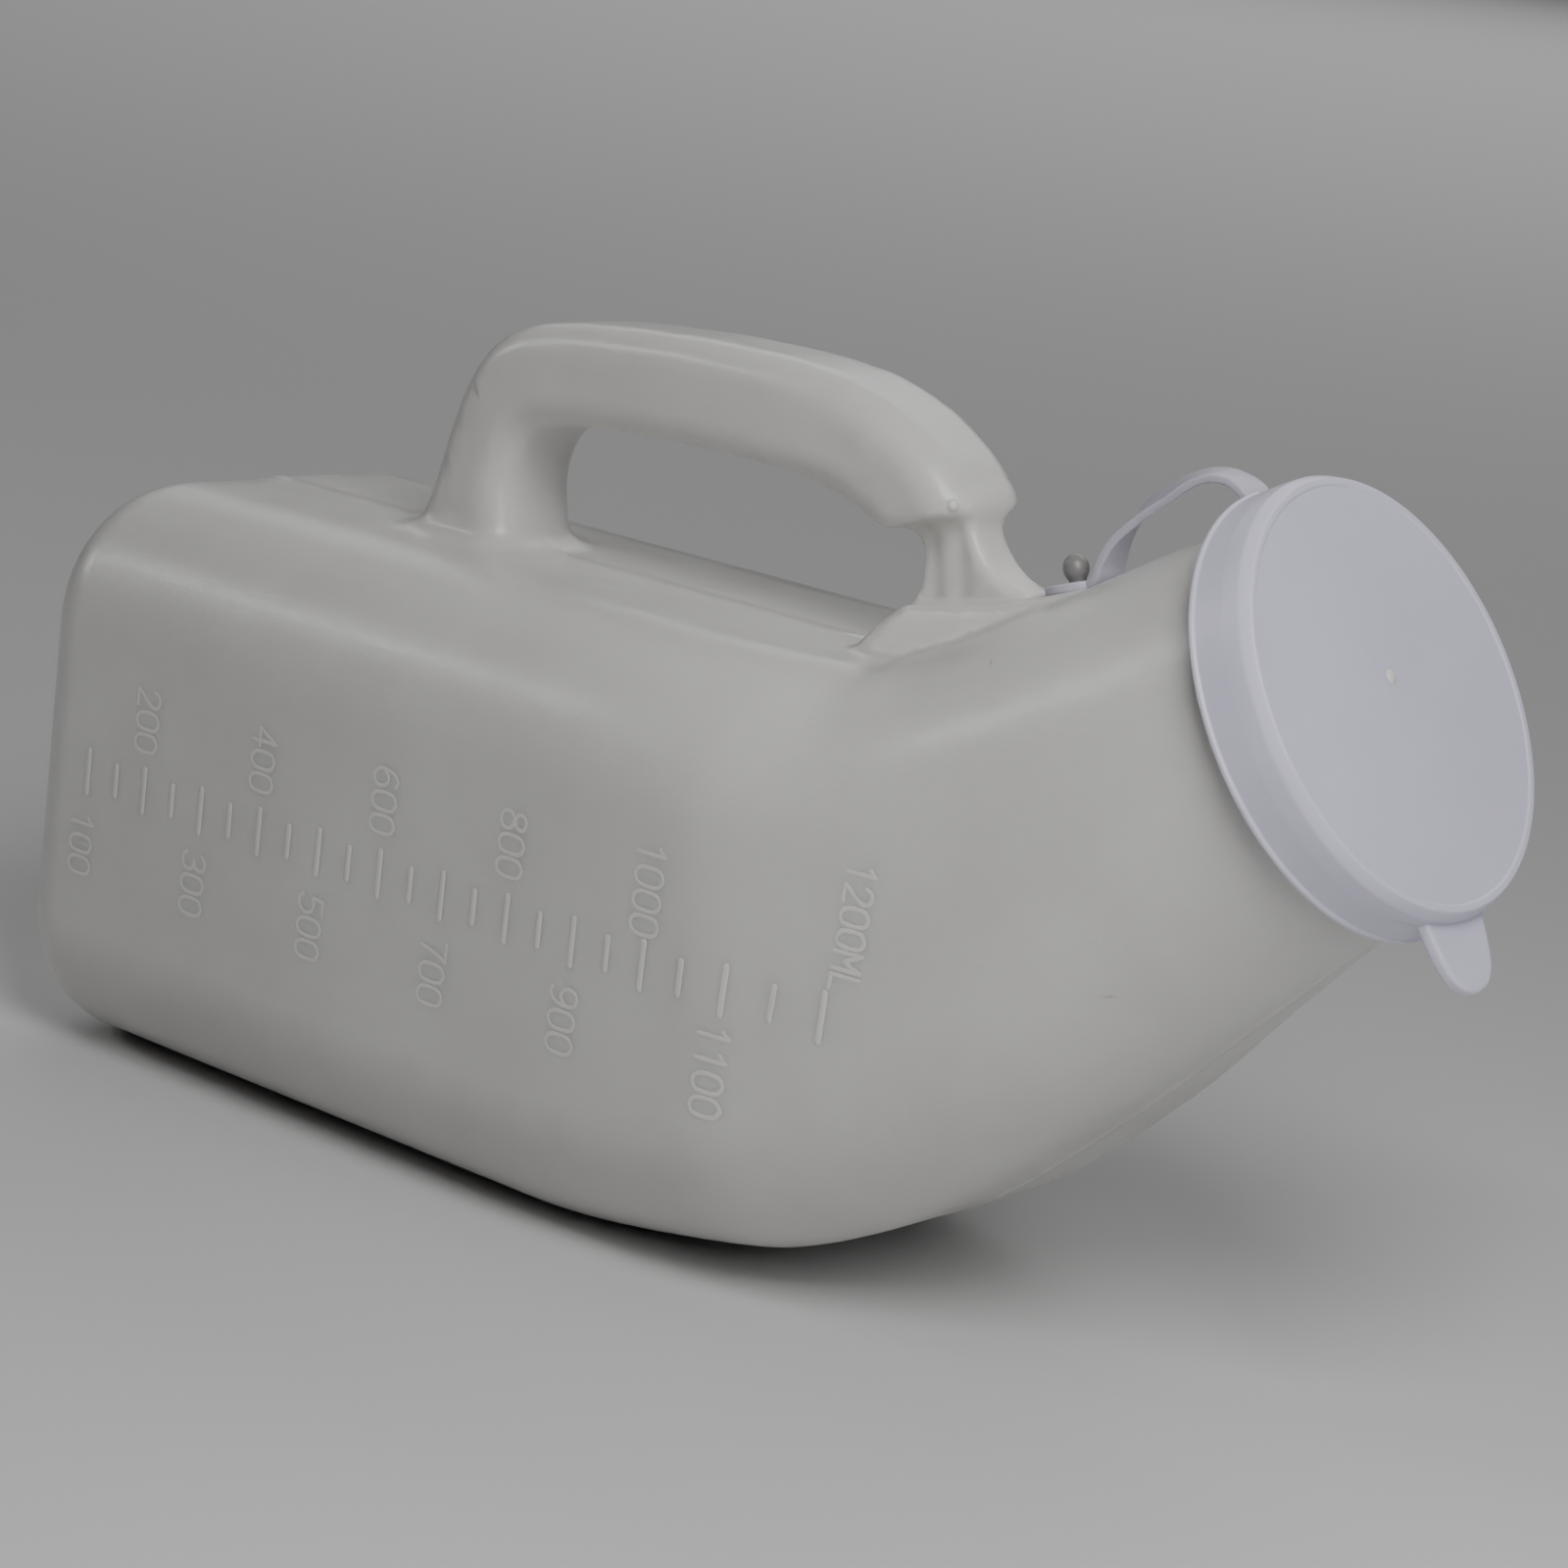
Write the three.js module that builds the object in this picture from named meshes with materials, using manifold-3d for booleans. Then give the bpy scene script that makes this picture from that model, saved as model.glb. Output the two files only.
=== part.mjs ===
// Hand-held urine bottle: a blow-moulded bottle with a loop handle and a graduated side,
// and a press-on lid that hangs on a strap. Millimetres, +Z up, +X towards the mouth.
// The geometry is laid out with X = 0 at the flat end and Z = 0 under the belly; the finished
// group is then moved so that the origin is the bottom centre of the whole object.
import * as THREE from 'three';
import { mergeVertices } from 'three/addons/utils/BufferGeometryUtils.js';
import Module from 'manifold-3d';

const wasm = await Module();
wasm.setup();

// ---- driving dimensions -------------------------------------------------------------------
const BODY_HEIGHT = 94;
const BODY_HALF_WIDTH = 44;
const BODY_CORNER = 0.52;            // corner radius as a share of the half width
const END_RADIUS = 12;               // rounding between the flat end and the sides
const WALL = 1.6;
const GAP = 0.3;                     // kept between pieces that touch
const BODY_POINTS = 36;              // mesh points in one ring of the body
const GRIP_POINTS = 24;              // and of the grip
const BODY_RINGS = 14;
const GRIP_RINGS = 22;

const NECK_TILT = THREE.MathUtils.degToRad(31.5);
const LID_FACE = new THREE.Vector3(230, 0, 106);       // centre of the plane of the lid's outer rim
const NECK_RADIUS = 30.1;
const BEAD_RADIUS = 30.7;
const RIM_DEPTH = 3.6;               // from that plane down to the bottle's rim
const FINISH_DEPTH = 14;             // lower end of the round neck finish

const LID_RADIUS = 32.4;
const LID_INSIDE = 31.3;
const LID_LIP_RADIUS = 33;
const LID_SKIRT = 8.7;               // depth of the skirt, lip included
const LID_RECESS = 0.8;
const LID_PLATE = 1.3;

const TICK_FIRST = 17.1;
const TICK_PITCH = 6.75;             // 50 ml of the straight body
const TICK_COUNT = 23;
const TICK_RELIEF = 0.4;
const TICK_WIDTH = 0.9;
const TICK_HEIGHT = [7.6, 5.4];      // hundreds, fifties
const TICK_CENTRE_Z = 48.4;

const GRIP_WALL = 1.8;
const POST_HALF_WIDTH = 4.3;
const PLINTH_HALF_WIDTH = 9.7;
const PLINTH_SLOPE = THREE.MathUtils.degToRad(19.4);
const STUD_FOOT = new THREE.Vector3(176.1, 0, 108.8);
const STUD_BALL = 2.2;
const STUD_HEIGHT = 3.8;             // foot to the middle of the ball

const STRAP_HALF_WIDTH = 3.3;
const STRAP_THICKNESS = 1.4;
const HINGE_GAP = 2.5;               // from the strap's end to the hinge, so that the lip swings past it
const EYELET_RADIUS = 4.9;
const EYELET_HOLE = 1.7;
const STRAP_BASE = new THREE.Vector2(180.7, 112.6);    // beside the eyelet
const HINGE_DEPTH = 10.4;            // where the strap bends at the lid, below the lid's face
const HINGE_HEIGHT = 32.3;           // and out from the neck's axis

const TAB_HALF_WIDTH = 7;
const TAB_TIP = 42.3;
const TAB_DEPTH = 1.6;
const TAB_THICKNESS = 2;

// ---- materials ----------------------------------------------------------------------------
const bottlePlastic = new THREE.MeshStandardMaterial({ color: 0xc9c8c3, roughness: 0.42, metalness: 0 });
const lidPlastic = new THREE.MeshStandardMaterial({ color: 0xd0cedb, roughness: 0.5, metalness: 0 });

// ---- solids -------------------------------------------------------------------------------
function toSolid(geometry) {
  const plain = geometry.clone();
  plain.deleteAttribute('normal');
  plain.deleteAttribute('uv');
  const merged = mergeVertices(plain, 1e-4);
  return new wasm.Manifold(new wasm.Mesh({
    numProp: 3,
    vertProperties: new Float32Array(merged.attributes.position.array),
    triVerts: new Uint32Array(merged.index.array),
  }));
}

function toGeometry(solid) {
  const mesh = solid.getMesh();
  const geometry = new THREE.BufferGeometry();
  geometry.setAttribute('position', new THREE.BufferAttribute(new Float32Array(mesh.vertProperties), 3));
  geometry.setIndex(new THREE.BufferAttribute(new Uint32Array(mesh.triVerts), 1));
  geometry.computeVertexNormals();
  return geometry;
}

const group = new THREE.Group();

function addPiece(name, geometry, material) {
  const piece = new THREE.Mesh(geometry, material);
  piece.name = name;
  group.add(piece);
}

// Plate in the XZ plane, centred on Y = 0, with rounded long edges.
function plate(shape, halfWidth, rounding, steps = 3, curveSteps = 8) {
  const geometry = new THREE.ExtrudeGeometry(shape, {
    depth: 2 * (halfWidth - rounding),
    bevelEnabled: rounding > 0,
    bevelThickness: rounding,
    bevelSize: rounding,
    bevelOffset: -rounding,
    bevelSegments: steps,
    curveSegments: curveSteps,
  });
  geometry.translate(0, 0, rounding - halfWidth);
  geometry.rotateX(Math.PI / 2);
  return geometry;
}

const points = (list) => list.map(([x, z]) => new THREE.Vector2(x, z));

// ---- bottle outline -----------------------------------------------------------------------
// Monotone cubic through the values at the knots, so that flat stretches stay flat.
function monotone(knots, values, t) {
  const last = knots.length - 1;
  const slope = [];
  for (let i = 0; i < last; i += 1) {
    slope.push((values[i + 1] - values[i]) / (knots[i + 1] - knots[i]));
  }
  const tangent = (i) => {
    if (i === 0) return slope[0];
    if (i === last) return slope[last - 1];
    if (slope[i - 1] * slope[i] <= 0) return 0;
    return 2 * slope[i - 1] * slope[i] / (slope[i - 1] + slope[i]);
  };
  let i = 0;
  while (i < last - 1 && t > knots[i + 1]) i += 1;
  const step = knots[i + 1] - knots[i];
  const s = (t - knots[i]) / step;
  const a = values[i] * (1 + 2 * s) * (1 - s) ** 2 + values[i + 1] * s * s * (3 - 2 * s);
  return a + step * (tangent(i) * s * (1 - s) ** 2 - tangent(i + 1) * s * s * (1 - s));
}

// Point of the neck's own frame: depth below the lid's face along the neck, height across it.
const neckAxis = new THREE.Vector3(Math.cos(NECK_TILT), 0, Math.sin(NECK_TILT));
const neckUp = new THREE.Vector3(-Math.sin(NECK_TILT), 0, Math.cos(NECK_TILT));
function onNeck(depth, height) {
  return LID_FACE.clone().addScaledVector(neckAxis, -depth).addScaledVector(neckUp, height);
}

// Each station: top point, bottom point, half width, corner share (1 is fully round).
function neckStation(depth, top, bottom, halfWidth, corner) {
  const high = onNeck(depth, top);
  const low = onNeck(depth, -bottom);
  return [high.x, high.z, low.x, low.z, halfWidth, corner];
}
const stations = [
  [END_RADIUS, BODY_HEIGHT, END_RADIUS, 0, BODY_HALF_WIDTH, BODY_CORNER],
  [68, BODY_HEIGHT, 62, 0, BODY_HALF_WIDTH, BODY_CORNER],
  [122, BODY_HEIGHT, 112, 0, BODY_HALF_WIDTH, BODY_CORNER],
  [139, BODY_HEIGHT, 152, 5.2, 43.2, 0.55],
  [151, BODY_HEIGHT + 0.2, 170, 12.6, 40.2, 0.6],
  neckStation(64, 29.4, 43.2, 36.4, 0.7),
  neckStation(36, 29.6, 36.2, 32.4, 0.9),
  neckStation(FINISH_DEPTH, NECK_RADIUS, NECK_RADIUS + 0.8, NECK_RADIUS + 0.2, 1),
];

// Distance along the middle of a list of stations, one value for each.
function knotsOf(list) {
  const knots = [0];
  for (let i = 1; i < list.length; i += 1) {
    const [a, b] = [list[i - 1], list[i]];
    knots.push(knots[i - 1] + Math.hypot(b[0] + b[2] - a[0] - a[2], b[1] + b[3] - a[1] - a[3]) / 2);
  }
  return knots;
}

function stationAt(list, t) {
  const knots = knotsOf(list);
  return list[0].map((_, column) => monotone(knots, list.map((s) => s[column]), t));
}

// Rounded rectangle between a top and a bottom point, shrunk by inset all round.
function ring([topX, topZ, bottomX, bottomZ, halfWidth, corner], inset, count) {
  const rise = new THREE.Vector3(topX - bottomX, 0, topZ - bottomZ);
  const halfHeight = rise.length() / 2 - inset;
  rise.normalize();
  const centre = new THREE.Vector3((topX + bottomX) / 2, 0, (topZ + bottomZ) / 2);
  const across = halfWidth - inset;
  const radius = Math.max(corner * Math.min(halfWidth, halfHeight + inset) - inset, 0.5);
  const list = [];
  const perCorner = count / 4;
  for (let i = 0; i < count; i += 1) {
    const quarter = Math.floor(i / perCorner);
    const angle = quarter * Math.PI / 2 + (i % perCorner) / (perCorner - 1) * Math.PI / 2;
    const signY = quarter === 0 || quarter === 3 ? 1 : -1;
    const signZ = quarter < 2 ? 1 : -1;
    const y = signY * (across - radius) + radius * Math.cos(angle);
    const z = signZ * (halfHeight - radius) + radius * Math.sin(angle);
    list.push(centre.clone().addScaledVector(rise, z).add(new THREE.Vector3(0, y, 0)));
  }
  return list;
}

// Rings of one skin of the bottle, from the flat end to the neck finish.
function skin(inset) {
  const rings = [];
  const round = END_RADIUS - inset;
  for (let i = 0; i < 4; i += 1) {
    const angle = i / 4 * Math.PI / 2;
    const first = [...stations[0]];
    first[0] = inset + round * (1 - Math.cos(angle));
    first[2] = first[0];
    rings.push(ring(first, inset + round * (1 - Math.sin(angle)), BODY_POINTS));
  }
  const knots = knotsOf(stations);
  const total = knots[knots.length - 1];
  const straight = knots[2];
  for (let i = 0; i < 3; i += 1) {
    rings.push(ring(stationAt(stations, straight * i / 3), inset, BODY_POINTS));
  }
  for (let i = 0; i <= BODY_RINGS; i += 1) {
    const t = straight + (total - straight) * i / BODY_RINGS;
    rings.push(ring(stationAt(stations, t), inset, BODY_POINTS));
  }
  return rings;
}

// Closed surface through a list of rings, with a flat cap on the first and the last.
function throughRings(rings) {
  const vertices = rings.flat();
  const index = [];
  const n = rings[0].length;
  for (let r = 0; r + 1 < rings.length; r += 1) {
    for (let i = 0; i < n; i += 1) {
      const j = (i + 1) % n;
      const a = r * n + i;
      const b = r * n + j;
      index.push(a, b, a + n, b, b + n, a + n);
    }
  }
  const lastRing = (rings.length - 1) * n;
  for (let i = 1; i + 1 < n; i += 1) {
    index.push(0, i + 1, i);
    index.push(lastRing, lastRing + i, lastRing + i + 1);
  }
  const geometry = new THREE.BufferGeometry();
  const flat = new Float32Array(vertices.flatMap((v) => [v.x, v.y, v.z]));
  geometry.setAttribute('position', new THREE.BufferAttribute(flat, 3));
  geometry.setIndex(index);
  return geometry;
}

// Solid with its faces turned outwards.
function orient(solidGeometry) {
  const solid = toSolid(solidGeometry);
  if (solid.volume() > 0) return solid;
  const flipped = solidGeometry.clone();
  const order = Array.from(flipped.index.array);
  for (let i = 0; i < order.length; i += 3) [order[i], order[i + 1]] = [order[i + 1], order[i]];
  flipped.setIndex(order);
  return toSolid(flipped);
}

const bottleClear = orient(throughRings(skin(-GAP)));

// ---- hollow grip --------------------------------------------------------------------------
// Stations as for the bottle: a point of the outer line, one of the inner line, half width, corner.
const FOOT_Z = BODY_HEIGHT - 3;
const gripStations = [
  [47.8, FOOT_Z, 72.4, FOOT_Z, 10.2, 0.5],
  [51.6, 99, 69.6, 98.5, 10, 0.6],
  [55, 111, 68.4, 105, 10, 0.7],
  [58.8, 121.2, 70, 110.5, 10.1, 0.7],
  [64.2, 127.4, 73.4, 113.8, 10.2, 0.66],
  [72, 130.6, 79, 115.5, 10.4, 0.6],
  [83, 132.4, 86, 116.3, 10.4, 0.6],
  [95, 133.4, 96, 117, 10.4, 0.6],
  [107, 134, 107, 117.3, 10.4, 0.6],
  [119, 134.1, 117, 117.2, 10.4, 0.6],
  [131, 133.4, 126, 116.9, 10.4, 0.62],
  [142.4, 130.6, 133.5, 115.7, 10.4, 0.66],
  [152.6, 125.2, 139, 113.9, 10.3, 0.7],
  [159.4, 117.8, 143.4, 111.6, 10.1, 0.7],
];

// Rings of the grip's skin, shrunk by inset, over the first share of its length.
function gripRings(inset, share) {
  const knots = knotsOf(gripStations);
  const end = knots[knots.length - 1] * share;
  const rings = [];
  for (let i = 0; i <= GRIP_RINGS; i += 1) {
    rings.push(ring(stationAt(gripStations, end * i / GRIP_RINGS), inset, GRIP_POINTS));
  }
  return rings;
}

// ---- bottle pieces ------------------------------------------------------------------------
// Hollow body and neck, with the scale on its side and the handle's bore let into its top.
function bottleShell(handleBore) {
  let shell = orient(throughRings([...skin(0), ...skin(WALL).reverse()]));
  for (const tick of scaleTicks()) shell = shell.add(tick);
  return toGeometry(shell.subtract(handleBore));
}

// Raised scale lines on the -Y side, one for each 50 ml from 100 ml up, further apart on the taper.
function scaleTicks() {
  const list = [];
  const taperStart = 19;
  const taperStretch = 0.35;
  let x = TICK_FIRST;
  for (let i = 0; i < TICK_COUNT; i += 1) {
    if (i > 0) x += TICK_PITCH + Math.max(0, i - taperStart + 1) * taperStretch;
    const height = TICK_HEIGHT[i % 2];
    const tick = new THREE.BoxGeometry(TICK_WIDTH, WALL, height);
    tick.translate(x, WALL / 2 - TICK_RELIEF - sideAt(x), TICK_CENTRE_Z);
    list.push(toSolid(tick));
  }
  return list;
}

// Half width of the bottle where its middle plane passes x.
function sideAt(x) {
  const middle = stations.map((s) => (s[0] + s[2]) / 2);
  return monotone(middle, stations.map((s) => s[4]), x);
}

// Round neck finish with the bead that the lid grips, in its own frame along +Y, then tilted.
function alongNeck(profile, segments = 64) {
  const geometry = new THREE.LatheGeometry(profile, segments);
  const upright = new THREE.Matrix4().makeBasis(new THREE.Vector3(0, -1, 0), neckAxis, neckUp);
  geometry.applyMatrix4(upright.setPosition(LID_FACE));
  return geometry;
}

function neckFinish() {
  const inside = NECK_RADIUS - WALL;
  return alongNeck(points([[inside, GAP - FINISH_DEPTH], [NECK_RADIUS, GAP - FINISH_DEPTH],
    [NECK_RADIUS, -7.2], [BEAD_RADIUS, -6.4], [BEAD_RADIUS, -4.6], [BEAD_RADIUS - 0.9, -RIM_DEPTH],
    [inside + 0.5, -RIM_DEPTH], [inside, -RIM_DEPTH - 0.5], [inside, GAP - FINISH_DEPTH]]));
}

// Pinched post under the front end of the grip, with two flutes down each side.
function handlePost() {
  const outline = points([[148.2, 112.6], [149.9, 109.8], [150.1, 106], [149, 103.3], [166.4, 108.1],
    [163, 109.4], [159.8, 112.8], [156.9, 116.2]]);
  let post = toSolid(plate(new THREE.Shape(outline), POST_HALF_WIDTH, 1.2));
  const lean = new THREE.Vector3(9, 0, -13).normalize();
  for (const side of [-1, 1]) {
    for (const x of [152.6, 156.3]) {
      const flute = new THREE.CylinderGeometry(1, 1, 14, 12);
      flute.applyQuaternion(new THREE.Quaternion().setFromUnitVectors(new THREE.Vector3(0, 1, 0), lean));
      flute.translate(x, side * (POST_HALF_WIDTH + 0.4), 109.5);
      post = post.subtract(toSolid(flute));
    }
  }
  return toGeometry(post);
}

// Block between the body's top and the neck, cut to sit on the bottle.
function plinth() {
  const outline = points([[139, 88], [142.8, 94.8], [147.2, 100], [150.2, 102.3], [166.6, 105.6],
    [183.6, 111.6], [183.6, 104], [176, 92]]);
  const block = toSolid(plate(new THREE.Shape(outline), PLINTH_HALF_WIDTH, 1.5));
  return toGeometry(block.subtract(bottleClear));
}

// Everything on the plinth's sloping top leans back with it.
function onPlinth(geometry) {
  geometry.rotateX(Math.PI / 2);
  geometry.rotateY(-PLINTH_SLOPE);
  geometry.translate(STUD_FOOT.x, STUD_FOOT.y, STUD_FOOT.z);
  return geometry;
}

// Ball-headed stud that the eyelet is pressed over.
function tetherStud() {
  const shank = 1.3;
  const start = -Math.acos(shank / STUD_BALL);
  const profile = points([[0, GAP], [shank, GAP]]);
  for (let i = 0; i < 6; i += 1) {
    const angle = start + i / 6 * (Math.PI / 2 - start);
    profile.push(new THREE.Vector2(STUD_BALL * Math.cos(angle), STUD_HEIGHT + STUD_BALL * Math.sin(angle)));
  }
  profile.push(new THREE.Vector2(0, STUD_HEIGHT + STUD_BALL));
  return onPlinth(new THREE.LatheGeometry(profile, 20));
}

// Flat ring at the strap's end.
function tetherEyelet() {
  const low = GAP;
  const high = GAP + STRAP_THICKNESS - 0.2;
  return onPlinth(new THREE.LatheGeometry(points([[EYELET_HOLE, low], [EYELET_RADIUS, low],
    [EYELET_RADIUS, high], [EYELET_HOLE, high], [EYELET_HOLE, low]]), 28));
}

// ---- strap --------------------------------------------------------------------------------
// Flat ribbon along a curve of the XZ plane.
function ribbon(route, steps) {
  const half = STRAP_THICKNESS / 2;
  const curve = new THREE.SplineCurve(route);
  const upper = [];
  const lower = [];
  for (let i = 0; i <= steps; i += 1) {
    const middle = curve.getPoint(i / steps);
    const along = curve.getTangent(i / steps);
    upper.push(new THREE.Vector2(middle.x - along.y * half, middle.y + along.x * half));
    lower.unshift(new THREE.Vector2(middle.x + along.y * half, middle.y - along.x * half));
  }
  return plate(new THREE.Shape([...upper, ...lower]), STRAP_HALF_WIDTH, 0);
}

const hinge = onNeck(HINGE_DEPTH, HINGE_HEIGHT);

// From beside the eyelet up over its highest point and down to just short of the hinge at the lid.
function lidStrap() {
  const end = new THREE.Vector2(hinge.x, hinge.z);
  const route = points([[182.3, 117.4], [185.3, 123.6], [189.4, 127.9], [194.6, 129.9], [199.6, 129.8]]);
  const nearEnd = end.clone().sub(route[4]).setLength(HINGE_GAP);
  return ribbon([STRAP_BASE, ...route, end.sub(nearEnd)], 22);
}

// ---- lid pieces ---------------------------------------------------------------------------
// Plate with its raised rim, skirt and lip, and the root of the strap on its upper edge.
function lidCap() {
  const under = -LID_RECESS - LID_PLATE;
  const shell = alongNeck(points([[0, under], [LID_INSIDE - 0.6, under], [LID_INSIDE, under - 0.6],
    [LID_INSIDE, -LID_SKIRT], [LID_LIP_RADIUS, -LID_SKIRT], [LID_LIP_RADIUS, 1.3 - LID_SKIRT],
    [LID_RADIUS, 1.8 - LID_SKIRT], [LID_RADIUS, -1.2], [LID_RADIUS - 0.35, -0.35], [LID_RADIUS - 1.1, 0],
    [LID_RADIUS - 2.4, -LID_RECESS], [0, -LID_RECESS]]), 72);
  const radius = STRAP_THICKNESS / 2;
  const knuckle = new THREE.CylinderGeometry(radius, radius, 2 * STRAP_HALF_WIDTH, 14);
  knuckle.translate(hinge.x, 0, hinge.z);
  const webLength = HINGE_DEPTH - LID_SKIRT + GAP;
  const web = new THREE.BoxGeometry(webLength, 2 * STRAP_HALF_WIDTH, STRAP_THICKNESS);
  web.rotateY(-NECK_TILT);
  const webPlace = onNeck(HINGE_DEPTH - webLength / 2, HINGE_HEIGHT);
  web.translate(webPlace.x, 0, webPlace.z);
  return toGeometry(toSolid(shell).add(toSolid(knuckle)).add(toSolid(web)));
}

// Ring inside the lid, between the plate and the bottle's rim.
function lidSealRing() {
  const low = GAP - RIM_DEPTH;
  const high = -LID_RECESS - LID_PLATE - GAP;
  const inner = NECK_RADIUS - WALL + 0.4;
  const outer = BEAD_RADIUS - 0.8;
  return alongNeck(points([[inner, low], [outer, low], [outer, high], [inner, high], [inner, low]]), 60);
}

// Tongue that the thumb pushes, hanging from the lid's lower edge.
function pullTab() {
  const root = LID_RADIUS + GAP;
  const outline = new THREE.Shape();
  outline.moveTo(-TAB_HALF_WIDTH, root + 0.8);
  outline.quadraticCurveTo(0, root - 0.5, TAB_HALF_WIDTH, root + 0.8);
  outline.bezierCurveTo(TAB_HALF_WIDTH - 1, root + 7, TAB_HALF_WIDTH - 3, TAB_TIP, 0, TAB_TIP);
  outline.bezierCurveTo(3 - TAB_HALF_WIDTH, TAB_TIP, 1 - TAB_HALF_WIDTH, root + 7,
    -TAB_HALF_WIDTH, root + 0.8);
  const geometry = new THREE.ExtrudeGeometry(outline, {
    depth: TAB_THICKNESS,
    bevelEnabled: false,
    curveSegments: 8,
  });
  geometry.translate(0, 0, TAB_DEPTH);
  const place = new THREE.Matrix4().makeBasis(new THREE.Vector3(0, 1, 0), neckUp.clone().negate(),
    neckAxis.clone().negate());
  geometry.applyMatrix4(place.setPosition(LID_FACE));
  return geometry;
}

// ---- put together -------------------------------------------------------------------------
const gripOutside = orient(throughRings(gripRings(0, 1)));
const gripBore = orient(throughRings(gripRings(GRIP_WALL, 0.985)));

addPiece('bottle_shell', bottleShell(gripBore), bottlePlastic);
addPiece('neck_finish', neckFinish(), bottlePlastic);
addPiece('handle_grip', toGeometry(gripOutside.subtract(gripBore).subtract(bottleClear)), bottlePlastic);
addPiece('handle_front_post', handlePost(), bottlePlastic);
addPiece('handle_plinth', plinth(), bottlePlastic);
addPiece('tether_stud', tetherStud(), bottlePlastic);
addPiece('tether_eyelet', tetherEyelet(), lidPlastic);
addPiece('lid_strap', lidStrap(), lidPlastic);
addPiece('lid_cap', lidCap(), lidPlastic);
addPiece('lid_seal_ring', lidSealRing(), lidPlastic);
addPiece('lid_pull_tab', pullTab(), lidPlastic);

const box = new THREE.Box3().setFromObject(group);
group.position.x = -(box.min.x + box.max.x) / 2;

export default group;
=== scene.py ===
import math

import bpy
import numpy as np
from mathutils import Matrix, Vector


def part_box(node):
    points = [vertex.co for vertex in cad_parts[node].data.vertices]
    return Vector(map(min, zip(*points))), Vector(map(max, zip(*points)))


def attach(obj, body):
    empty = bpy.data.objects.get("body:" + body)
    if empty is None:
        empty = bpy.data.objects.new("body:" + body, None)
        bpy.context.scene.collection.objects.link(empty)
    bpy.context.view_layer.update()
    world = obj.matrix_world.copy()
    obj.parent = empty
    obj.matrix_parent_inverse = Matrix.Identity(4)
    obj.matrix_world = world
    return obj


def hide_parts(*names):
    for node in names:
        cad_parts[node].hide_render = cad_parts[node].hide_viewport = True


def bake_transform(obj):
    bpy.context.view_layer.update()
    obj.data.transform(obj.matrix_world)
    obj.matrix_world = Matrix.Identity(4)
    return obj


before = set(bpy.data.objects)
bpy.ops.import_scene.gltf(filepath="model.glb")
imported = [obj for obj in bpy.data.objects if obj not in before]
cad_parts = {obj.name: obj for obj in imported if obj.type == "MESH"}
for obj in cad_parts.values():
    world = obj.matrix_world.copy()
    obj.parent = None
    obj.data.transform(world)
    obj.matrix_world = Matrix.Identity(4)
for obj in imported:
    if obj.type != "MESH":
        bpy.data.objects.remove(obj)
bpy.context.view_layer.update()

import openvdb
from mathutils import Matrix, Vector
from mathutils.bvhtree import BVHTree
from mathutils.geometry import tessellate_polygon

# Shapes are laid out in millimetres with X = 0 at the bottle's flat end, Y = 0 in its middle
# plane and Z = 0 under its belly, then moved into the row frame in metres.
MM = 0.001
FLAT_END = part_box("bottle_shell")[0].x / MM


def row(p):
    """A point, or many, of the layout in the row frame."""
    return (np.asarray(p, float) + (FLAT_END, 0, 0)) * MM


# ---- camera --------------------------------------------------------------------------------------
def turned(v, axis, angle):
    """The vector turned about a unit axis."""
    return (v * math.cos(angle) + np.cross(axis, v) * math.sin(angle)
            + axis * np.dot(axis, v) * (1 - math.cos(angle)))


def make_camera():
    """The photo's view: a place on a sphere about the target, then small turns in place."""
    azimuth, elevation, roll, pan, tilt = np.radians((37.64, 13.95, 7.21, 1.0, 0.94))
    distance = 642.74
    target = np.array((140.4, 0, 59.4))
    back = np.array((math.sin(azimuth) * math.cos(elevation),
                     -math.cos(azimuth) * math.cos(elevation), math.sin(elevation)))
    right = np.array((math.cos(azimuth), math.sin(azimuth), 0))
    up = np.cross(back, right)
    place = row(target + back * distance)
    back, right = turned(back, up, pan), turned(right, up, pan)
    back, up = turned(back, right, tilt), turned(up, right, tilt)
    right, up = turned(right, back, roll), turned(up, back, roll)
    data = bpy.data.cameras.new("camera")
    data.lens = 96.94
    data.sensor_width = 36
    data.clip_start, data.clip_end = 0.01, 20
    camera = bpy.data.objects.new("camera", data)
    bpy.context.collection.objects.link(camera)
    camera.matrix_world = Matrix(((right[0], up[0], back[0], place[0]),
                                  (right[1], up[1], back[1], place[1]),
                                  (right[2], up[2], back[2], place[2]), (0, 0, 0, 1)))
    bpy.context.scene.camera = camera


make_camera()


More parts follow.
